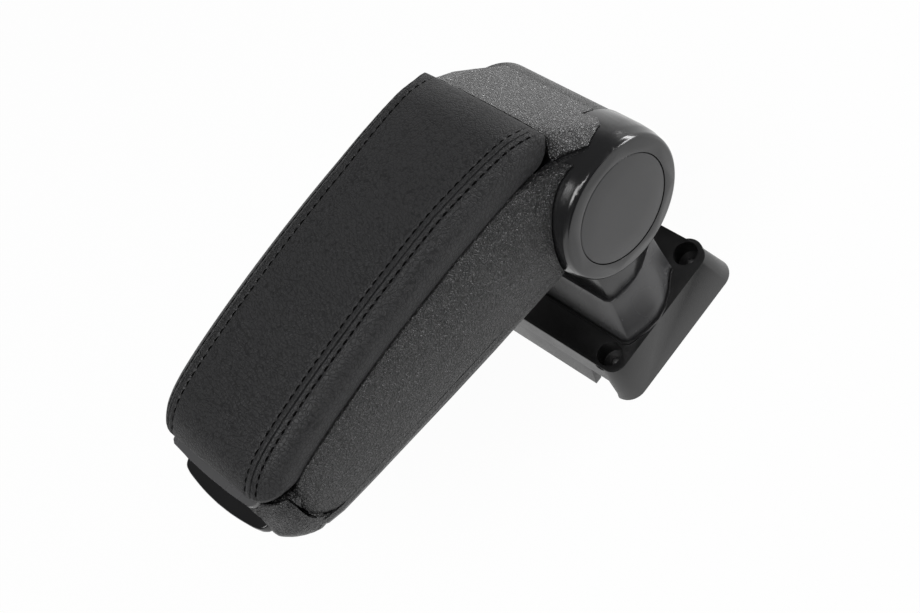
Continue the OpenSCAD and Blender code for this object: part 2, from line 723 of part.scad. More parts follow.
// The moulded plate that the cushion is stretched over.
module lid_core(c) {
  side_plate(-in_x - 0.2 - c, in_x + 0.2 + c)
    polygon(concat([for (i = [0:14]) let (t = 0.1 + (0.95 - 0.1) * i / 14) [ly(t), zg(t) + 3.8 + c]],
                   [[ly(0.955) - c, zg(0.95) + 3.8 + c], [ly(0.955) - c, 50]],
                   [[ly(0.95), 50]], [[ly(0.5), 50]],
                   [[-16.5 + c, 50], [-16.5 + c, zg(0.1) + 3.8 + c]]));
}
module lid_frame() {
  color([0.07, 0.07, 0.072])
    at_pivot()
      difference() {
        union() {
          difference() {
            lid_core(0);
            under_lid(in_x + 2, 0, -0.9);
          }
          sides()
            side_plate(17.2, 24)
              union() {
                translate([hinge_y, hinge_z])
                  circle(r = 4.2);
                polygon([[hinge_y + 1, hinge_z + 4.1], [-4, 53.4], [-6.4, 51.3], [-13, 51.2], [-14.6, 54.6],
                         [-16.7, 55.2], [-17.2, 58],
                         [-26, 58], [-26, 53], [-20, 48.6], [-6, 47.8], [hinge_y, hinge_z - 4.2]]);
              }
          // cheeks that carry the latch pin
          sides()
            slab(36.4, 39.2, latch_y - 5, latch_y + 9, latch_z - 4.5, latch_z + 4.5);
          slab(-39.2, 39.2, latch_y + 7, latch_y + 9.6, 55, latch_z + 4.5);
        }
        translate([0, hinge_y, hinge_z])
          rod(hinge_d / 2 + run, -60, 60);
        translate([0, latch_y, latch_z])
          rod(latch_d / 2, -60, 60);
        slab(-36.4, 36.4, latch_y - 30, latch_y + 7, 40, latch_z + 5.2);
      }
}
module latch_pin() {
  color([0.6, 0.6, 0.62])
    at_pivot()
      translate([0, latch_y, latch_z])
        rod(latch_d / 2, -38.8, 38.8);
}
module latch_lever() {
  f = ly(1) - 5.2;
  color([0.12, 0.12, 0.125])
    at_pivot()
      difference() {
        union() {
          // lip with rounded ends
          intersection() {
            translate([0, 0, 51.2])
              linear_extrude(2.8)
                polygon([[-35.8, latch_y + 3], [-35.8, latch_y - 9.6], [-38, latch_y - 10], [-38, f + 6],
                         [-37, f + 3.2], [-34.5, f + 1.6], [-20, f + 0.5], [0, f], [20, f + 0.5], [34.5, f + 1.6],
                         [37, f + 3.2], [38, f + 6], [38, latch_y - 10], [35.8, latch_y - 9.6],
                         [35.8, latch_y + 3]]);
            side_plate(-40, 40)
              polygon([[latch_y + 3, 54], [f + 0.4, 54], [f - 1, 53.4], [f - 1, 52.6], [f + 2.5, 51.2],
                       [latch_y + 3, 51.2]]);
          }
          translate([0, latch_y, latch_z])
            rod(4, -35.8, 35.8);
          slab(-35.8, 35.8, latch_y - 1.5, latch_y + 2.5, 52, latch_z);
          // hook
          slab(-8, 8, latch_y - 10.2, latch_y - 7.8, 43.6, 52);
          side_plate(-8, 8)
            polygon([[latch_y - 8, 43.6], [latch_y - 5.4, 45.2], [latch_y - 4.6, 46.8],
                     [latch_y - 8, 46.8]]);
        }
        translate([0, latch_y, latch_z])
          rod(latch_d / 2 + run, -60, 60);
        // room for the spring
        slab(-27, -15, latch_y - 5, latch_y + 5, 54.05, 70);
      }
}
module latch_spring() {
  color([0.6, 0.6, 0.62])
    at_pivot()
      difference() {
        union() {
          translate([0, latch_y, latch_z])
            rod(3.4, -26, -16);
          slab(-17, -16, latch_y - 7, latch_y, 54.05, 55.05);
          slab(-26, -25, latch_y + 1, latch_y + 6.1, latch_z + 2.2, latch_z + 3.2);
        }
        translate([0, latch_y, latch_z])
          rod(latch_d / 2 + 0.02, -60, 60);
        for (i = [0:5])
          translate([0, latch_y, latch_z])
            difference() {
              rod(5, -25 + i * 1.5, -24.3 + i * 1.5);
              rod(2.9, -30, -10);
            }
      }
}

base_adapter();
mounting_plate();
plate_screws();
stand_bracket();
pedestal_cover();
neck_cover();
left_drum();
right_drum();
left_drum_disc();
right_drum_disc();
pivot_bolt();
pivot_nut();
spring_washers();
friction_discs();
stop_pin();
arm_bracket();
bracket_screws();
bin_shell();
rear_cover();
left_side_panel();
right_side_panel();
bin_tub();
bin_mat();
lid_bumpers();
hinge_bracket();
lid_hinge_pin();
latch_catch();
lid_frame();
lid_pad();
latch_pin();
latch_lever();
latch_spring();
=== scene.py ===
import json
import math
import bpy
import numpy as np
from mathutils import Matrix, Vector


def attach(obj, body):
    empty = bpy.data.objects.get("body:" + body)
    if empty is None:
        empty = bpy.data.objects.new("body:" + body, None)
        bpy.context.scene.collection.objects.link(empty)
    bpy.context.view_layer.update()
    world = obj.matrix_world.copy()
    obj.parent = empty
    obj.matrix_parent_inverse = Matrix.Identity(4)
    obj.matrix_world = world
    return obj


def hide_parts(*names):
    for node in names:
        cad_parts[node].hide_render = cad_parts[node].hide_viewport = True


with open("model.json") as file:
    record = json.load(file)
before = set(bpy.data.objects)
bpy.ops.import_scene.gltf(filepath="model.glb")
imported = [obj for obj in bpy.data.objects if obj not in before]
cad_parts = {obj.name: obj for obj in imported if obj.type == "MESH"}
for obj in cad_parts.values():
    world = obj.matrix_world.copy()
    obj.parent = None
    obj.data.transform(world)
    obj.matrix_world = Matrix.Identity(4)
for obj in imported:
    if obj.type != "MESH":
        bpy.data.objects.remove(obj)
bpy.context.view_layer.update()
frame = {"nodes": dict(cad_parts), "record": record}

# Studio. A white sweep under the armrest, a long low softbox behind it that grazes the grained shoulder and draws
# a crescent on the hub cap, soft light from above in front, a weak one on the right, and the camera high on the
# right, a little in front.
def linear(code):
    """An sRGB hex colour as the linear numbers that a shader takes."""
    parts = [int(code[i:i + 2], 16) / 255 for i in (1, 3, 5)]
    return tuple(c / 12.92 if c <= 0.04045 else ((c + 0.055) / 1.055) ** 2.4 for c in parts) + (1.0,)


def add(tree, kind, inputs=None, **settings):
    """Adds one shader node; an input is a value or another node's output."""
    made = tree.nodes.new("ShaderNode" + kind)
    for key, value in settings.items():
        setattr(made, key, value)
    for key, value in (inputs or {}).items():
        if isinstance(value, bpy.types.NodeSocket):
            tree.links.new(value, made.inputs[key])
        else:
            made.inputs[key].default_value = value
    return made


scene = bpy.context.scene
scene.view_settings.view_transform = "Standard"
lens = bpy.data.cameras.new("camera")
lens.lens, lens.sensor_width, lens.clip_start, lens.clip_end = 63.7, 36, 0.05, 50
camera = bpy.data.objects.new("camera", lens)
scene.collection.objects.link(camera)
# The camera's place and its directions come from a fit to the round cap, the barrel and the foot.
camera_place = (0.58093, -0.18236, 0.86284)
right, down, forward = (0.67286, 0.60742, -0.42226), (0.43458, -0.78648, -0.43884), (-0.59866, 0.11177, -0.79317)
camera.matrix_world = Matrix([(right[i], -down[i], -forward[i], camera_place[i]) for i in range(3)]
                             + [(0, 0, 0, 1)])
scene.camera = camera

middle_of_armrest = Vector((0, -0.05, 0.14))
for name, place, size, power in [("rear_softbox", (0.35, 1.3, 0.46), (1.3, 0.16), 12),
                                 ("top_softbox", (0.2, -0.9, 1.75), (0.7, 0.8), 14),
                                 ("right_softbox", (1.25, -0.5, 0.12), (1.2, 0.22), 1.5),
                                 ("front_softbox", (0.62, -0.42, 1.3), (0.3, 0.3), 3)]:
    light = bpy.data.lights.new(name, "AREA")
    light.shape, light.size, light.size_y, light.energy = "RECTANGLE", size[0], size[1], power
    lamp = bpy.data.objects.new(name, light)
    scene.collection.objects.link(lamp)
    lamp.location = place
    lamp.rotation_euler = (middle_of_armrest - Vector(place)).to_track_quat("-Z", "Y").to_euler()

# The room is bright near the horizon and dark overhead and in front, which is what the satin covers reflect.
world = bpy.data.worlds.new("studio")
scene.world = world
world.use_nodes = True
sky = world.node_tree
sky.nodes.clear()
toward = add(sky, "TexCoord")
part = add(sky, "SeparateXYZ", {0: toward.outputs["Generated"]})
height = add(sky, "MapRange", {"Value": part.outputs["Z"], "From Min": 0.0, "From Max": 0.55, "To Min": 0.85,
                               "To Max": 0.12}, interpolation_type="SMOOTHSTEP")
front = add(sky, "MapRange", {"Value": part.outputs["Y"], "From Min": -0.7, "From Max": 0.1, "To Min": 0.3,
                              "To Max": 1.0}, interpolation_type="SMOOTHSTEP")
strength = add(sky, "Math", {0: height.outputs["Result"], 1: front.outputs["Result"]}, operation="MULTIPLY")
room = add(sky, "Background", {"Color": (1, 1, 1, 1), "Strength": strength.outputs[0]})
add(sky, "OutputWorld", {0: room.outputs[0]})

# A black card on the right is seen in reflections only, and darkens the lid's near side. Felt shows no gloss.
bpy.ops.object.select_all(action="DESELECT")
bpy.ops.mesh.primitive_plane_add(size=1, location=(0.75, -0.3, 0.3), rotation=(0, math.radians(90), 0))
card = bpy.context.active_object
card.name = "black_card"
card.scale = (0.6, 1.2, 1)
card.visible_camera = card.visible_shadow = card.visible_diffuse = False
felt = bpy.data.materials.new("black_felt_card")
felt.use_nodes = True
felt_skin = felt.node_tree.nodes["Principled BSDF"]
felt_skin.inputs["Base Color"].default_value = linear("#0c0c0c")
felt_skin.inputs["Roughness"].default_value = 0.9
felt_skin.inputs["Specular IOR Level"].default_value = 0.0
card.data.materials.append(felt)

# Matt white paper. The camera and reflections see most of it as plain white; the rest keeps the shadow.
white_share = 0.97
bpy.ops.object.select_all(action="DESELECT")
bpy.ops.mesh.primitive_plane_add(size=8, location=(0, 0, -0.0003))
floor = bpy.context.active_object
floor.name = "floor"
paper = bpy.data.materials.new("white_paper_sweep")
paper.use_nodes = True
tree = paper.node_tree
tree.nodes.clear()
seen = add(tree, "LightPath")
shown = add(tree, "Math", {0: seen.outputs["Is Camera Ray"], 1: seen.outputs["Is Glossy Ray"]}, operation="MAXIMUM")
shown = add(tree, "Math", {0: shown.outputs[0], 1: seen.outputs["Is Transmission Ray"]}, operation="MAXIMUM")
share = add(tree, "Math", {0: shown.outputs[0], 1: white_share}, operation="MULTIPLY")
matt = add(tree, "BsdfDiffuse", {"Color": linear("#f4f4f4")})
glow = add(tree, "Emission", {"Color": (1, 1, 1, 1), "Strength": 1.0})
mixed = add(tree, "MixShader", {0: share.outputs[0], 1: matt.outputs[0], 2: glow.outputs[0]})
add(tree, "OutputMaterial", {0: mixed.outputs[0]})
floor.data.materials.append(paper)

# Base adapter. The deep moulded foot that fits the car's tunnel: black polypropylene, straight from a finely
# spark-eroded mould, with counterbored holes for four screws. Its outer edges are softly rounded.
def alone(piece):
    """Leaves only this piece selected and active."""
    bpy.ops.object.select_all(action="DESELECT")
    piece.select_set(True)
    bpy.context.view_layer.objects.active = piece


def dressed(node, name, body, finish, edge_mm=0.0, steps=2, angle=32):
    """A copy of a CAD node with its corners joined and its hard edges rounded, which stands for the node."""
    piece = bpy.data.objects.new(name, frame["nodes"][node].data.copy())
    scene.collection.objects.link(piece)
    piece.data.materials.clear()
    piece.data.materials.append(finish)
    alone(piece)
    bpy.ops.object.mode_set(mode="EDIT")
    bpy.ops.mesh.select_all(action="SELECT")
    bpy.ops.mesh.remove_doubles(threshold=0.00001)
    bpy.ops.mesh.dissolve_limited(angle_limit=math.radians(0.6))
    bpy.ops.object.mode_set(mode="OBJECT")
    if edge_mm:
        edge = piece.modifiers.new("edge", "BEVEL")
        edge.width, edge.segments, edge.limit_method = edge_mm / 1000, steps, "ANGLE"
        edge.angle_limit, edge.miter_outer = math.radians(angle), "MITER_ARC"
        bpy.ops.object.modifier_apply(modifier="edge")
    bpy.ops.object.shade_smooth_by_angle(angle=math.radians(angle))
    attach(piece, body)
    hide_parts(node)
    return piece


def moulded(name, colour, grain_mm, depth_mm, roughness, crease=0.25, gloss=0.5, tint=0.0):
    """A skin with pebbles of grain_mm, a bloom in its gloss, and, by tint, painted shade darkening the creases
    between the pebbles and painted highlight lightening the pebble tops.
    """
    texture_mm, cloud_mm = 0.238095, 22.2222      # the fine texture on the pebbles, and the clouds of the bloom
    made = bpy.data.materials.new(name)
    made.use_nodes = True
    tree = made.node_tree
    skin = tree.nodes["Principled BSDF"]
    skin.inputs["Base Color"].default_value = linear(colour)
    skin.inputs["IOR"].default_value = 1.5
    skin.inputs["Specular IOR Level"].default_value = gloss
    place = add(tree, "TexCoord")
    # the cells are bent by up to half their size, so that no crease runs straight
    warp = add(tree, "TexNoise", {"Vector": place.outputs["Object"], "Scale": 600 / grain_mm, "Detail": 1.0})
    bent = add(tree, "VectorMath", {0: warp.outputs["Color"], 1: (0.5, 0.5, 0.5)}, operation="SUBTRACT")
    bent = add(tree, "VectorMath", {0: bent.outputs[0], "Scale": 0.0009 * grain_mm}, operation="SCALE")
    bent = add(tree, "VectorMath", {0: place.outputs["Object"], 1: bent.outputs[0]}, operation="ADD")
    cells = add(tree, "TexVoronoi", {"Vector": bent.outputs[0], "Scale": 1000 / grain_mm},
                feature="DISTANCE_TO_EDGE")
    pebble = add(tree, "MapRange", {"Value": cells.outputs["Distance"], "From Min": 0.0, "From Max": crease,
                                    "To Min": 0.0, "To Max": 1.0}, interpolation_type="SMOOTHSTEP")
    # painted shade and painted highlight: the creases are made darker and the pebble tops lighter by tint
    if tint:
        shade = add(tree, "ValToRGB", {"Fac": pebble.outputs["Result"]})
        shade.color_ramp.elements[0].color = tuple(c * (1 - tint) for c in linear(colour)[:3]) + (1,)
        shade.color_ramp.elements[1].color = tuple(c * (1 + tint) for c in linear(colour)[:3]) + (1,)
        tree.links.new(shade.outputs["Color"], skin.inputs["Base Color"])
    fine = add(tree, "TexNoise", {"Vector": place.outputs["Object"], "Scale": 1000 / texture_mm, "Detail": 2.0})
    height = add(tree, "Math", {0: fine.outputs["Fac"], 1: 0.16, 2: pebble.outputs["Result"]},
                 operation="MULTIPLY_ADD")
    bump = add(tree, "Bump", {"Height": height.outputs[0], "Strength": 1.0, "Distance": depth_mm / 1000})
    tree.links.new(bump.outputs["Normal"], skin.inputs["Normal"])
    # the clouds make the gloss uneven, as hands and wiping do
    bloom = add(tree, "TexNoise", {"Vector": place.outputs["Object"], "Scale": 1000 / cloud_mm, "Detail": 3.0})
    gloss_map = add(tree, "MapRange", {"Value": bloom.outputs["Fac"], "From Min": 0.3, "From Max": 0.7,
                                       "To Min": roughness - 0.04, "To Max": roughness + 0.04})
    tree.links.new(gloss_map.outputs["Result"], skin.inputs["Roughness"])
    return made


# Spark-eroded polypropylene: nearly black on top, with a dull sheen on the sides that face the paper.
foot_plastic = moulded("spark_eroded_polypropylene", "#070708", grain_mm=0.9, depth_mm=0.035, roughness=0.36,
                       gloss=0.85)
dressed("base_adapter", "base_adapter_moulding", "stand", foot_plastic, edge_mm=1.2, steps=3)

# Mounting plate, upright and their screws. Steel pressings in black powder coat, welded and screwed together
# under the covers; zinc-plated socket screws hold the upright to the plate.
def fine_grained(name, colour, roughness, metallic, grain_mm, depth_mm):
    """A hard face with one fine grain in its colour, gloss and height; metallic is 1 for bare metal."""
    made = bpy.data.materials.new(name)
    made.use_nodes = True
    tree = made.node_tree
    skin = tree.nodes["Principled BSDF"]
    skin.inputs["Metallic"].default_value = metallic
    place = add(tree, "TexCoord")
    grain = add(tree, "TexNoise", {"Vector": place.outputs["Object"], "Scale": 1000 / grain_mm, "Detail": 3.0})
    tint = add(tree, "ValToRGB", {"Fac": grain.outputs["Fac"]})
    tint.color_ramp.elements[0].color = linear(colour)
    tint.color_ramp.elements[1].color = tuple(min(1, c * 1.25) for c in linear(colour)[:3]) + (1,)
    tree.links.new(tint.outputs["Color"], skin.inputs["Base Color"])
    rough = add(tree, "MapRange", {"Value": grain.outputs["Fac"], "To Min": roughness - 0.06,
                                   "To Max": roughness + 0.06})
    tree.links.new(rough.outputs["Result"], skin.inputs["Roughness"])
    bump = add(tree, "Bump", {"Height": grain.outputs["Fac"], "Strength": 0.6, "Distance": depth_mm / 1000})
    tree.links.new(bump.outputs["Normal"], skin.inputs["Normal"])
    return made


def coat(names, finish):
    """Puts a finish on CAD nodes that are shown as they are."""
    for name in names:
        mesh = frame["nodes"][name].data
        mesh.materials.clear()
        mesh.materials.append(finish)


# Powder coat: black with a faint orange-peel surface. Zinc plate: a pale, slightly cloudy metal.
powder_coat = fine_grained("black_powder_coat", "#262627", roughness=0.45, metallic=0.0, grain_mm=0.5,
                           depth_mm=0.03)
zinc_plate = fine_grained("zinc_plated_steel", "#a9abad", roughness=0.32, metallic=1.0, grain_mm=1.2,
                          depth_mm=0.01)
coat(["mounting_plate", "stand_bracket"], powder_coat)
coat(["plate_screws"], zinc_plate)

# Pedestal cover and neck cover. Smooth ABS mouldings that hide the upright: the flared cover stands in the
# foot's collar, the leaning block above it clips under the hub, and a dark joint runs between the two.
# Satin ABS: black, with soft-edged clear reflections. Semi-matt ABS: a greyer black, painted lighter than the satin
# ABS as painted light for the light that falls on the pedestal's sides, and its reflections blur.
satin_abs = moulded("satin_abs", "#1f1f20", grain_mm=0.5, depth_mm=0.003, roughness=0.17, gloss=0.6)
semi_matt_abs_painted_light = moulded("semi_matt_abs_painted_light", "#3e3e3f", grain_mm=0.5, depth_mm=0.004, roughness=0.28, gloss=0.7)
dressed("pedestal_cover", "pedestal_cover_moulding", "stand", semi_matt_abs_painted_light, edge_mm=1.6,
        steps=3, angle=24)
dressed("neck_cover", "neck_cover_moulding", "stand", satin_abs, edge_mm=1.4, steps=3, angle=24)

# Hub caps. Satin ABS, screwed to the upright's sides: a round cap with a bevelled rim on the near side and a low
# dome on the far one. A finer matt disc or plug is pressed into each, with a thin shadow line around it.
# Fine satin ABS: an even mid-grey sheen with no sharp reflection.
disc_abs = moulded("fine_satin_abs", "#353536", grain_mm=0.4, depth_mm=0.006, roughness=0.34)
for side in ("left", "right"):
    dressed(side + "_drum", side + "_hub_cap", "stand", satin_abs, edge_mm=0.5, steps=3, angle=24)
    dressed(side + "_drum_disc", side + "_hub_disc", "stand", disc_abs, edge_mm=0.35, angle=24)

# Pivot. A zinc-plated bolt and nut clamp the upright on the arm's sleeve through spring washers and fibre discs,
# so that friction holds the arm at any angle; a pin in a slot ends its travel.
# Fibre lining: a dull brown board that shines nowhere.
fibre = fine_grained("fibre_friction_lining", "#6b5a45", roughness=0.8, metallic=0.0, grain_mm=0.8, depth_mm=0.04)
coat(["pivot_bolt", "pivot_nut", "spring_washers", "stop_pin"], zinc_plate)
coat(["friction_discs"], fibre)

# Arm bracket. A steel sleeve with two flanges and a back plate, welded and powder-coated black. It turns on the
# pivot bolt inside the barrel, and plated screws hold it to the shell.
coat(["arm_bracket"], powder_coat)
coat(["bracket_screws"], zinc_plate)

# Lower shell. One ABS moulding with the lower tray and the barrel; its outside has the same pebbled grain as the
# side panels. It is cut off in front, where the skins of the nose go on from it.
# Pebble-grained ABS: small glints on the pebbles, with painted shade darkening the creases and painted highlight
# lightening the pebble tops. The real pebbles are about 1 mm and are drawn at 1.6 mm, or they would not show.
grained_abs = moulded("pebble_grained_abs", "#232324", grain_mm=1.6, depth_mm=0.6, roughness=0.36, crease=0.3,
                      gloss=0.7, tint=0.85)
pivot = np.array(frame["record"]["behaviour"]["joints"][0]["pos_m"]) * 1000
nose_start = -238.8      # mm from the pivot

shell = dressed("bin_shell", "lower_shell_moulding", "arm", grained_abs, angle=28)
alone(shell)
bpy.ops.object.mode_set(mode="EDIT")
bpy.ops.mesh.select_all(action="SELECT")
bpy.ops.mesh.bisect(plane_co=(0, (nose_start + pivot[1]) / 1000, 0), plane_no=(0, 1, 0), use_fill=True,
                    clear_inner=True)
bpy.ops.object.mode_set(mode="OBJECT")

# Nose. The satin lower lip that closes the finger recess, and beside it the two rounded corner pieces of grained
# ABS, which tuck under the lid and leave a dark gap round the front ends of the side panels.
lid_points = np.array([v.co for v in frame["nodes"]["lid_pad"].data.vertices]) * 1000 - pivot
half_width, length = lid_points[:, 0].max(), -lid_points[:, 1].min()
# The outermost outline of the nose, from the middle to the side, and the length along it.
toe_line = [(0, -266.8), (12, -266.3), (22, -265.2), (33, -263.2), (38, -261.4), (44, -258.6), (50, -254.4),
            (54.2, -249.2), (56, -244), (56.3, -239.5), (56.4, -236), (56.8, -229)]
toe_run = np.concatenate([[0], np.cumsum(np.hypot(*np.diff(np.array(toe_line), axis=0).T))])
# Height, how far the lip and the corner stand back in front, and how far both stand in at the side.
toe_rows = [(9.8, 27.6, 26.5, 17), (10.4, 26.5, 24.5, 9.7), (12.3, 23.6, 20, 4.8), (15.6, 19.4, 13.5, 2.2),
            (18.9, 15.6, 8, 0.9), (21.5, 12.6, 4.4, 0.35), (24, 8.8, 1.9, 0.1), (26, 4.6, 0.8, 0),
            (28, 1.4, 0.2, 0), (30, 0.2, 0.5, 0), (32, 0, 2, 0.1), (34, 0, 3.3, 0.3), (37, 0, 4.3, 0.9),
            (40, 0, 5.1, 1.8), (43, 0, 6.2, 2.9), (46, 0, 7.7, 4.2), (48.5, 0, 9.3, 5.4), (50.3, 0, 10.7, 6.4)]
nose_depth, nose_half_width = 28, 57.8      # what the rows' distances are measured on
blend_from, blend_wide = 32, 12      # the x where the lip's form starts to pass into the corner's, and how far
lip_height, lip_end, lip_rear = 33.2, 37.6, 35.8      # its straight height, and x of its ends in front and behind
corner_end, inner_wall = 35.6, 47                     # x of a corner piece's inner end and of its wall inside
# Inset and height of the outlines that round the upper edges; a corner piece's last ones are its hollow.
lip_top = ((0.15, 33.6), (0.5, 33.95), (1.1, 34.1))
corner_top = ((0.12, 50.7), (0.45, 51.1), (0.95, 51.3), (1.5, 51.2), (1.9, 50.6), (2.1, 48), (2.2, 44))
# A corner piece stays behind a slanting plane, or it would show past the lip's far end: a point of that plane and
# its slopes.
limit_x, limit_y, limit_height = 45.9, -257.9, 32
slope_outwards, slope_upwards = 0.117, 0.18
# The side panels' round front end: its middle, its half height above and below, where it starts and how far it
# reaches as shares of the lid's length, and the gap before it. Above the middle a corner piece ends at rearmost.
panel_middle, half_above, half_below = 38, 16.2, 18.8
panel_from, panel_reach, panel_gap, rearmost = 0.88, 0.0705, 1.6, -240.6


def curve(points, at):
    """A smooth line through (place, value) points, read at some places."""
    place, value = np.array(points, float).T
    slope = np.gradient(value, place)
    i = np.clip(np.searchsorted(place, at) - 1, 0, len(place) - 2)
    span = place[i + 1] - place[i]
    u = (at - place[i]) / span
    return ((1 + 2 * u) * (1 - u) ** 2 * value[i] + u * (1 - u) ** 2 * span * slope[i]
            + u * u * (3 - 2 * u) * value[i + 1] + u * u * (u - 1) * span * slope[i + 1])


def toe(height, run, is_corner=False):
    """Points of the nose's outline at one height, from places along the toe line, as the lip or a corner piece."""
    level, outline = np.array(toe_rows), np.array(toe_line)
    lip, corner, side = (np.interp(height, level[:, 0], level[:, i]) for i in (1, 2, 3))
    x, y = curve(np.c_[toe_run, outline[:, 0]], run), curve(np.c_[toe_run, outline[:, 1]], run)
    step = np.clip((x - blend_from) / blend_wide, 0, 1)
    back = lip + (corner - lip) * step ** 2 * (3 - 2 * step)
    y = nose_start + (y - nose_start) * np.where(y < nose_start, 1 - back / nose_depth, 1)
    if is_corner:
        y = np.maximum(y, limit_y + slope_outwards * (x - limit_x) + slope_upwards * (height - limit_height))
    return np.c_[x * (1 - side / nose_half_width), y, np.full(len(x), height)]


def rounded(points, start, radius):
    """The same points with the end that begins at x = start rounded back in plan."""
    near = np.clip(radius - np.abs(np.abs(points[:, 0]) - start), 0, radius - 0.01)
    return points + np.c_[0 * near, radius - np.sqrt(radius ** 2 - near ** 2), 0 * near]


def inset(points, by, height):
    """A closed outline moved inwards, and to another height."""
    along = np.roll(points, -1, axis=0)[:, :2] - np.roll(points, 1, axis=0)[:, :2]
    along /= np.linalg.norm(along, axis=1, keepdims=True)
    x, y = points[:, 0], points[:, 1]
    turn = np.sign(np.sum(x * np.roll(y, -1) - y * np.roll(x, -1)))
    return np.c_[x - turn * along[:, 1] * by, y + turn * along[:, 0] * by, np.full(len(x), height)]


def wrapped(name, layers, finish):
    """A closed skin over a stack of outlines that all have the same number of points."""
    middle = [np.tile(row.mean(axis=0), (len(row), 1)) for row in (layers[0], layers[-1])]
    rows = np.array([middle[0]] + layers + [middle[1]])
    rows = np.concatenate([rows, rows[:, :1]], axis=1)
    bpy.ops.object.select_all(action="DESELECT")
    bpy.ops.mesh.primitive_grid_add(x_subdivisions=rows.shape[1] - 1, y_subdivisions=rows.shape[0] - 1)
    piece = bpy.context.active_object
    piece.name = piece.data.name = name
    piece.data.vertices.foreach_set("co", ((rows.reshape(-1, 3) + pivot) / 1000).ravel())
    alone(piece)
    bpy.ops.object.mode_set(mode="EDIT")
    bpy.ops.mesh.select_all(action="SELECT")
    bpy.ops.mesh.remove_doubles(threshold=0.00001)
    bpy.ops.mesh.normals_make_consistent(inside=False)
    bpy.ops.object.mode_set(mode="OBJECT")
    bpy.ops.object.shade_smooth_by_angle(angle=math.radians(50))
    piece.data.materials.append(finish)
    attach(piece, "arm")


def corner_rear(z):
    """The y where a corner piece ends at one height, a gap before the side panel's round end."""
    above = z > panel_middle
    reach = abs(z - panel_middle) / (half_above if above else half_below)
    end = nose_start
    if reach < 1:
        end = -length * (panel_from + panel_reach * math.sqrt(1 - reach ** 2)) - panel_gap
    return min(end, rearmost) if above else end


# Points along the toe line, which crowd together towards the end of each piece.
lip_run, corner_run = (float(np.interp(x, [p[0] for p in toe_line], toe_run)) for x in (lip_end, corner_end - 0.2))
half = np.concatenate([np.linspace(0, lip_run - 4, 10), lip_run - np.array([3, 2, 1.2, 0.6, 0.2, 0])])
corner_start = corner_run + np.array([0.2, 0.5, 1.2, 2.2, 3.5, 5])

lip_layers = []
for z in [row[0] for row in toe_rows if row[0] < lip_height] + [lip_height]:
    points = toe(z, half)
    points = rounded(np.concatenate([points[::-1] * (-1, 1, 1), points[1:]]), lip_end, radius=3)
    lip_layers.append(np.concatenate([points, [(lip_rear, nose_start, z), (-lip_rear, nose_start, z)]]))
lip_layers += [inset(lip_layers[-1], by, z) for by, z in lip_top]
wrapped("front_lip", lip_layers, satin_abs)

for side in (1, -1):
    layers = []
    for z in [row[0] for row in toe_rows]:
        end = float(np.interp(-corner_rear(z), [-p[1] for p in toe_line[::-1]], toe_run[::-1]))
        run = np.concatenate([corner_start, np.linspace(corner_run + 7, end, 18)])
        # the inner end is rounded a little less where it stands over the lip
        skin = rounded(toe(z, run, is_corner=True), corner_end, radius=3 if z > 36 else 4)
        inside = [(inner_wall, skin[-1, 1], z), (inner_wall - 0.1, nose_start, z), (corner_end, nose_start, z)]
        layers.append(np.concatenate([skin, inside]) * (side, 1, 1))
    top = layers[-1]
    layers += [inset(top, by, z) for by, z in corner_top]
    wrapped("left_nose_corner" if side > 0 else "right_nose_corner", layers, grained_abs)

# Shoulder cover. The grained ABS cap behind the lid, snapped over the top of the barrel.
# Deep-grained ABS, painted a lighter grey than the other grained ABS as painted sheen for the rear light on the
# shoulder, with painted shade in its creases and painted highlight on its pebble tops; its steep side sparkles where
# the rear light grazes it. The pebbles are drawn at 1.6 mm for the same reason as on the shell.
coarse_abs_painted_sheen = moulded("deep_grained_abs_painted_sheen", "#505051", grain_mm=1.6, depth_mm=0.75, roughness=0.25, crease=0.35,
                     gloss=1.0, tint=0.85)
dressed("rear_cover", "shoulder_cover_moulding", "arm", coarse_abs_painted_sheen, edge_mm=0.6, steps=3,
        angle=30)

# Side panels. Two convex ABS mouldings with pebbled grain and softly rounded edges, snapped to the shell's sides,
# with a round nose in front.
for side in ("left", "right"):
    dressed(side + "_side_panel", side + "_side_panel_moulding", "arm", grained_abs, edge_mm=0.9,
            steps=3, angle=30)

# Storage tub, mat and bumpers. A plain ABS tub drops into the shell and its flange carries two rubber stops for
# the lid; a ribbed rubber mat lies on its floor.
# Plain matt ABS: an even dull black. Matt rubber: darker, with no shine.
plain_abs = moulded("plain_matt_abs", "#1e1e1f", grain_mm=0.6, depth_mm=0.02, roughness=0.55)
rubber = moulded("matt_rubber", "#161616", grain_mm=0.5, depth_mm=0.02, roughness=0.75)
coat(["bin_tub"], plain_abs)
coat(["bin_mat", "lid_bumpers"], rubber)

# Lid hinge and catch. Steel ears in powder coat with a plated pin through them, and a plated ledge that the
# lever's hook drops behind.
coat(["hinge_bracket"], powder_coat)
coat(["lid_hinge_pin", "latch_catch", "latch_pin", "latch_spring"], zinc_plate)

# Lid plate. The plain ABS plate that the cushion is stretched over. Its two arms reach back to the hinge pin, and
# its front end carries the pin of the latch lever.
coat(["lid_frame"], plain_abs)

# Lid cushion. Foam under black leatherette, stretched over the lid plate. Two double-stitched seams run from the
# rear over the front edge; the panels swell between them, and every stitch pulls a small dimple.
# Places along the lid are shares of its length, from the rear.
rear_end = 0.0125
rear_taper, taper_to = 2.5, 0.03          # how much narrower the rear end is, and up to where
front_corner, bend_from = 16.4, 0.8       # plan radius of the front corners, and where the stations start to bend
seam_x, seam_flare, flare_to = 37.8, 5, 0.3      # the seams from the middle, and how they run apart at the rear
crown = 1.7                               # how high the top panel stands over the seams
stitch_mm, stations_per_stitch = 5.7, 5
rows_of_stitches = (-4.1, 3.4)            # from the seam, inwards and outwards
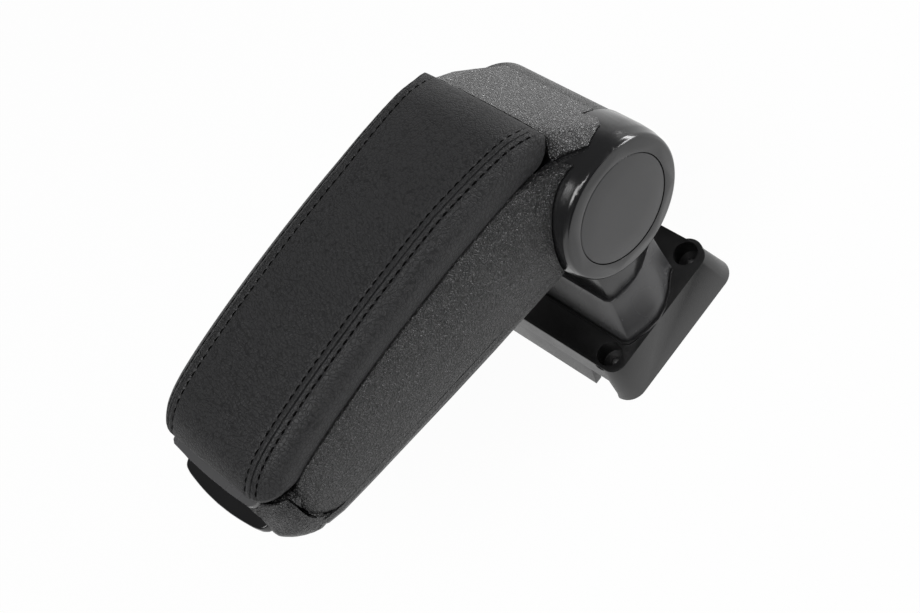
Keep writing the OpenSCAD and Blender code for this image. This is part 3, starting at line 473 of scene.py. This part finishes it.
# Along the lid: the height of the seam and of the lower edge above the pivot.
seam_line = [(0.008, 66.4), (0.02, 69.3), (0.036, 72.3), (0.071, 77), (0.135, 80.6), (0.19, 82.3), (0.337, 84.4),
             (0.476, 84.6), (0.627, 83.3), (0.766, 80.7), (0.845, 78.3), (0.901, 75.8), (0.937, 73),
             (0.968, 68.6), (0.99, 63.5), (1, 60.5)]
edge_line = [(0.008, 65.3), (0.02, 63.6), (0.036, 59.2), (0.056, 55.9), (0.1, 56.9), (0.2, 57.6), (0.4, 62.2),
             (0.53, 63.2), (0.7, 61.6), (0.9, 55.6), (0.93, 54.4), (0.97, 55.2), (1, 57.4)]
# Across the side panel: shares of its width and of its height from the seam down to the lower edge.
side_line = [(0.0, 0.0), (0.45, 0.11), (0.8, 0.3), (0.985, 0.56), (1.0, 0.85), (0.975, 1.0)]


def lid_joint(t):
    """Height of the shell's upper edge under the lid, which falls from its crest to both ends."""
    crest, crest_height = 0.53, 62.4
    return crest_height - ((t - crest) * length) ** 2 * np.where(t < crest, 0.00052, 0.00088)


def lower_edge(t):
    """Height of the cushion's lower edge, 0.8 mm over the shell except at the ends."""
    return np.where((t > 0.1) & (t < 0.9), lid_joint(t) + 0.8, curve(edge_line, t))


def along_lid(t, x):
    """The y of points x of one station, which bends back round the lid's front corners."""
    bend = np.clip((t - bend_from) / (1 - bend_from), 0, 1) ** 1.5
    out = np.clip(x - (half_width - front_corner), 0, front_corner - 0.01)
    return -length * t + bend * (front_corner - np.sqrt(front_corner ** 2 - out ** 2))


def pads_grid():
    """Stations along the lid, the points of each from edge to edge, and the points' distances from the seam."""
    fine = np.linspace(rear_end, 1, 4001)
    along = np.concatenate([[0], np.cumsum(np.hypot(np.diff(fine) * length, np.diff(curve(seam_line, fine))))])
    stations = np.interp(np.arange(0, along[-1], stitch_mm / stations_per_stitch), along, fine)
    near_seam = np.array([-5.6, -4.9, -4.5, -4.1, -3.7, -3.3, -2.7, -2.1, -1.6, -1.2, -0.9, -0.6, -0.4, -0.2, 0,
                          0.2, 0.4, 0.6, 0.9, 1.3, 1.8, 2.4, 2.9, 3.4, 3.9, 4.4, 5.1])
    points, marks = [], []
    for t in stations:
        top, low = float(curve(seam_line, t)), float(lower_edge(t))
        wide = half_width - rear_taper * max(0.0, 1 - t / taper_to)
        seam = seam_x + seam_flare * max(0.0, flare_to - t) / flare_to
        # the crowned top panel from the middle out to the seam, and the side panel down from there
        across = np.linspace(0, seam, 9)
        path = [(x, top + crown * (1 - (x / seam) ** 2.2)) for x in across[:-1]]
        path += [(seam + (wide - seam) * f, top - (top - low) * g) for f, g in side_line]
        path = np.array(path)
        run = np.concatenate([[0], np.cumsum(np.hypot(*np.diff(path, axis=0).T))])
        run -= run[len(across) - 1]
        d = np.concatenate([np.linspace(run[0], near_seam[0], 15)[:-1], near_seam,
                            np.linspace(near_seam[-1], run[-1], 15)[1:]])
        x, z = curve(np.c_[run, path[:, 0]], d), curve(np.c_[run, path[:, 1]], d)
        y = along_lid(t, np.abs(x))
        points.append(np.concatenate([np.c_[-x, y, z][::-1], np.c_[x, y, z][1:]]))
        marks.append(np.concatenate([d[::-1], d[1:]]))
    return stations, np.array(points), np.array(marks)


def seam_relief(d, phase):
    """How far the cover stands out of its smooth form, in mm, at d from a seam and at a place in a stitch."""
    bell = lambda centre, wide: np.exp(-((d - centre) / wide) ** 2)
    hole = np.exp(-(np.minimum(phase, 1 - phase) / 0.16) ** 2)
    # a ridge on either side of the groove between the panels
    relief = 0.35 * bell(0.95, 0.7) + 0.2 * bell(-1.5, 1.0) - 0.95 * bell(0, 0.36)
    # the furrows that the two rows of stitches pull, deepest at the holes, and a faint wide dimple at each hole
    relief -= (0.5 + 0.5 * hole) * bell(rows_of_stitches[0], 0.62)
    relief -= (0.45 + 0.5 * hole) * bell(rows_of_stitches[1], 0.62)
    return relief + 0.1 * (0.5 - hole) * bell(0, 7.0)


stations, rings, marks = pads_grid()
normals = np.cross(np.gradient(rings, axis=1), np.gradient(rings, axis=0))
normals /= np.linalg.norm(normals, axis=2, keepdims=True)
if normals[len(stations) // 2, rings.shape[1] // 2, 2] < 0:      # the top panel has to face up
    normals = -normals
phase = (np.arange(len(stations)) / stations_per_stitch) % 1.0
relief = seam_relief(marks, phase[:, None])
fade = np.clip(np.minimum((stations - rear_end) / 0.012, (1 - stations) / 0.004), 0, 1)[:, None]
cover = rings + normals * (relief * fade)[:, :, None]

# The underside: a rim round the recess that the lid plate fills, and a deeper place for the lever in front.
rim_from, rim_inside, recess_half_width = 0.85, 47.6, 47.3      # rim_from is the share of the points across
plate_half_width, plate_rear, plate_front, plate_thick = 47.4, 0.094, 0.961, 4.1
lever_half_width, lever_front, lever_rear, over_lever = 39.6, -247, -227, 63.2
count = cover.shape[1]
inner = np.arange(1, count - 1)
share = np.abs(inner - count // 2) / (count // 2)
under = np.empty((len(stations), count - 2, 3))
for i, t in enumerate(stations):
    rim = np.abs(cover[i, 0, 0])
    x = np.where(share > rim_from, rim_inside + (rim - rim_inside) * (share - rim_from) / (1 - rim_from),
                 recess_half_width * share / rim_from)
    y = along_lid(t, x)
    low = np.full(len(x), cover[i, 0, 2])
    on_plate = (x < plate_half_width) & (-y / length > plate_rear) & (-y / length < plate_front)
    low = np.where(on_plate, lid_joint(-y / length) + plate_thick, low)
    on_lever = (x < lever_half_width) & (y > lever_front) & (y < lever_rear)
    low = np.where(on_lever, np.maximum(low, over_lever), low)
    under[i] = np.c_[x * np.sign(inner - count // 2), y, low]
both_sides = np.concatenate([cover, under[:, ::-1]], axis=1)
ring = both_sides.shape[1]
corners = (both_sides.reshape(-1, 3) + pivot) / 1000
faces = [(i * ring + j, i * ring + (j + 1) % ring, (i + 1) * ring + (j + 1) % ring, (i + 1) * ring + j)
         for i in range(len(stations) - 1) for j in range(ring)]
# both ends are closed between the cover and the underside
for first in (0, (len(stations) - 1) * ring):
    for j in range(count - 1):
        quad = (first + j, first + j + 1, first + (2 * count - 3 - j) % ring, first + (2 * count - 2 - j) % ring)
        faces.append(tuple(dict.fromkeys(quad)))
cushion_mesh = bpy.data.meshes.new("lid_cushion")
cushion_mesh.from_pydata(corners.tolist(), [], faces)
cushion = bpy.data.objects.new("lid_cushion", cushion_mesh)
scene.collection.objects.link(cushion)
alone(cushion)
bpy.ops.object.mode_set(mode="EDIT")
bpy.ops.mesh.select_all(action="SELECT")
bpy.ops.mesh.remove_doubles(threshold=0.000002)
bpy.ops.mesh.normals_make_consistent(inside=False)
bpy.ops.object.mode_set(mode="OBJECT")
bpy.ops.object.shade_smooth_by_angle(angle=math.radians(60))
# Embossed leatherette: a soft low sheen, broken by flat pebbles of about 2 mm, with painted shade making the creases
# slightly darker and painted highlight making the pebble tops slightly lighter.
leatherette = moulded("black_leatherette", "#2a2a2b", grain_mm=2.1, depth_mm=0.16, roughness=0.5, crease=0.2,
                      gloss=0.35, tint=0.35)
cushion_mesh.materials.append(leatherette)
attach(cushion, "lid")
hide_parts("lid_pad")

# Seam stitching. Black bonded thread in long single stitches, two rows beside each seam, each stitch arched over
# the cover between two holes. The thread is drawn 1.3 mm wide, or the rows would not show.
thread_wide, thread_high, arch_up, arch_down = 1.3, 0.9, 0.75, 0.9
hole_share = 0.07        # how much of a stitch's length each hole takes
bpy.ops.object.select_all(action="DESELECT")
bpy.ops.mesh.primitive_uv_sphere_add(segments=6, ring_count=6, radius=0.5)
pattern = bpy.context.active_object
stitch = np.array([v.co for v in pattern.data.vertices])
# in one fixed order, since the sphere's faces come in another order each time
stitch_faces = sorted(tuple(np.roll(f.vertices, -int(np.argmin(f.vertices))).tolist()) for f in pattern.data.polygons)
bpy.data.objects.remove(pattern)
thread_points, thread_faces = [], []
for row in rows_of_stitches:
    column = int(np.argmin(np.abs(marks[0][count // 2:] - row)))
    for side in (-1, 1):
        line, up = cover[:, count // 2 + side * column], normals[:, count // 2 + side * column]
        for start in range(stations_per_stitch, len(stations) - stations_per_stitch, stations_per_stitch):
            hole, next_hole = line[start], line[start + stations_per_stitch]
            a = hole * (1 - hole_share) + next_hole * hole_share
            b = next_hole * (1 - hole_share) + hole * hole_share
            lift = up[start + stations_per_stitch // 2]
            size = np.linalg.norm(b - a)
            along = (b - a) / size
            beside = np.cross(along, lift)
            ball = (stitch[:, :1] * beside * thread_wide + stitch[:, 2:] * along * size
                    + stitch[:, 1:2] * lift * thread_high)
            arch = (arch_up - arch_down * np.abs(stitch[:, 2:] * 2) ** 3) * lift
            first = len(thread_points)
            thread_points += (((a + b) / 2 + ball + arch + pivot) / 1000).tolist()
            thread_faces += [tuple(first + i for i in f) for f in stitch_faces]
thread_mesh = bpy.data.meshes.new("seam_stitches")
thread_mesh.from_pydata(thread_points, [], thread_faces)
thread = bpy.data.objects.new("seam_stitches", thread_mesh)
scene.collection.objects.link(thread)
alone(thread)
bpy.ops.object.shade_smooth()
# Bonded nylon: a dull deep black that reads as dashes on the cover.
bonded_nylon = moulded("bonded_nylon_thread", "#060606", grain_mm=0.3, depth_mm=0.02, roughness=0.9, gloss=0.05)
thread_mesh.materials.append(bonded_nylon)
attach(thread, "lid")

# Latch lever. A satin ABS lip under the front edge of the lid, which the fingers turn against the coil spring on
# its pin, so that the hook comes free of the catch.
# Satin ABS painted mid-grey, a painted sheen for the light that its glossy face catches: a bar between the dark lid
# and the dark lower lip.
lever_abs_painted_sheen = moulded("satin_abs_painted_sheen", "#5a5a5b", grain_mm=0.5, depth_mm=0.003, roughness=0.25, gloss=0.8)
dressed("latch_lever", "latch_lever_moulding", "lever", lever_abs_painted_sheen, edge_mm=0.5, steps=3, angle=28)
